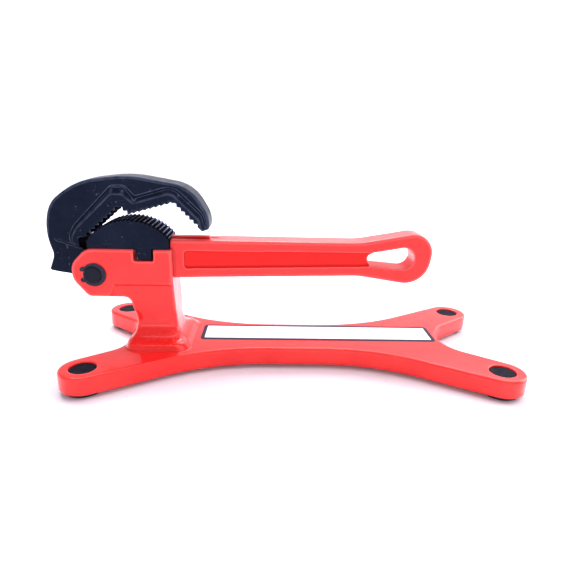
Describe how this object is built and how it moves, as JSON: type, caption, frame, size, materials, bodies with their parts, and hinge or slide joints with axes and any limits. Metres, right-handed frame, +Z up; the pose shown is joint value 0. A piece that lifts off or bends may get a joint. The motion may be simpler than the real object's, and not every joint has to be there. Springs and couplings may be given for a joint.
{
  "type": "bench pipe vise",
  "caption": "Bench pipe vise: a spring-loaded hook jaw closes over a toothed heel jaw on a post, cast in one with an I-beam handle and a four-legged base on rubber feet.",
  "frame": {"origin": "on the surface that the rubber feet stand on, under the middle of the overall length and width", "axes": "+X along the handle away from the jaws, +Y across, away from the side with the label's lower edge, +Z up"},
  "size_m": [0.4122, 0.179, 0.1684],
  "materials": {
    "red_paint": "glossy red-orange enamel on a ductile iron casting",
    "black_forging": "satin black oxide with a blue tint and light scratches",
    "black_steel": "satin black oxide on turned steel",
    "spring_steel": "oiled spring steel",
    "rubber": "matt moulded rubber",
    "label_face": "white vinyl with a dark border, blank"
  },
  "bodies": {
    "frame": {"vise_body": "red_paint", "heel_jaw": "black_forging", "heel_jaw_pin": "spring_steel", "pivot_pin": "black_steel", "retaining_ring_front": "black_steel", "retaining_ring_rear": "black_steel", "jaw_spring": "spring_steel", "rubber_foot_front_left": "rubber", "rubber_foot_front_right": "rubber", "rubber_foot_rear_left": "rubber", "rubber_foot_rear_right": "rubber", "label": "label_face"},
    "hook": {"hook_jaw": "black_forging"}
  },
  "joints": [
    {"name": "hook_pivot", "type": "hinge", "parent": "frame", "child": "hook", "pos_m": [-0.1664, 0, 0.0832], "axis": [0, -1, 0], "range_deg": [0, 42], "stiffness_Nm_per_rad": 0.5, "springref_deg": -91.67, "deforming": ["jaw_spring"]}
  ]
}
